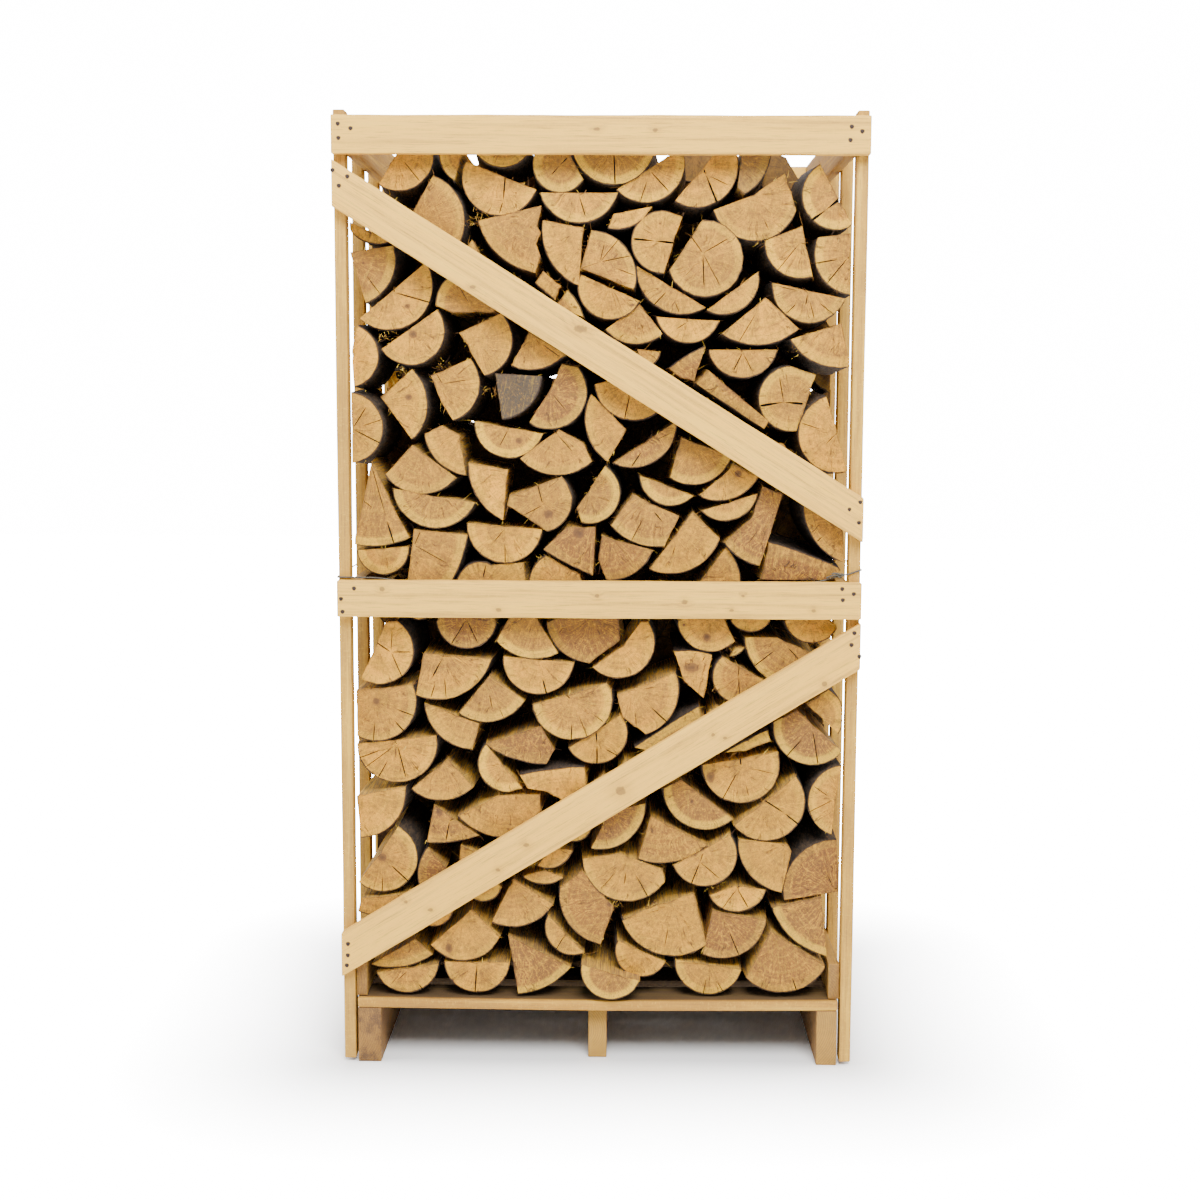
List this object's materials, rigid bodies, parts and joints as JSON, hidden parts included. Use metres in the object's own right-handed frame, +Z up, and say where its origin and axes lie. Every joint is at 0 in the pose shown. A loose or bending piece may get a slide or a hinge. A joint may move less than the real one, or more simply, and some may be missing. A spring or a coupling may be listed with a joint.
{
  "type": "crate of split firewood",
  "caption": "Tall timber pallet crate with braced open sides, filled with rows of short split oak logs.",
  "frame": {"origin": "on the ground under the middle of the crate", "axes": "+Z up, +X to the right seen from the front, +Y from the front to the back, in metres"},
  "size_m": [1.1278, 0.8506, 2.06],
  "materials": {
    "frame_board": "rough sawn spruce",
    "floor_board": "rough sawn spruce",
    "skid": "sawn end grain",
    "oak_logs": "split and sawn oak with bark",
    "twine": "twisted twine"
  },
  "bodies": {
    "root": {"back_brace_lower": "frame_board", "back_brace_upper": "frame_board", "back_rail_middle": "frame_board", "back_rail_top": "frame_board", "deck_board_1": "floor_board", "deck_board_2": "floor_board", "deck_board_3": "floor_board", "deck_board_4": "floor_board", "deck_board_5": "floor_board", "deck_board_6": "floor_board", "front_brace_lower": "frame_board", "front_brace_upper": "frame_board", "front_rail_middle": "frame_board", "front_rail_top": "frame_board", "logs_back_row": "oak_logs", "logs_front_row": "oak_logs", "logs_middle_row": "oak_logs", "post_left_1": "frame_board", "post_left_2": "frame_board", "post_left_3": "frame_board", "post_left_4": "frame_board", "post_right_1": "frame_board", "post_right_2": "frame_board", "post_right_3": "frame_board", "post_right_4": "frame_board", "side_rail_left_bottom": "frame_board", "side_rail_left_middle": "frame_board", "side_rail_left_top": "frame_board", "side_rail_right_bottom": "frame_board", "side_rail_right_middle": "frame_board", "side_rail_right_top": "frame_board", "skid_left": "skid", "skid_middle": "skid", "skid_right": "skid", "top_log_01": "oak_logs", "top_log_02": "oak_logs", "top_log_03": "oak_logs", "top_log_04": "oak_logs", "top_log_05": "oak_logs", "top_log_06": "oak_logs", "top_log_07": "oak_logs", "top_log_08": "oak_logs", "top_log_09": "oak_logs", "top_log_10": "oak_logs", "top_log_11": "oak_logs", "top_log_12": "oak_logs", "top_log_13": "oak_logs", "top_log_14": "oak_logs", "top_log_15": "oak_logs", "top_log_16": "oak_logs", "top_log_17": "oak_logs", "twine": "twine"}
  },
  "joints": []
}
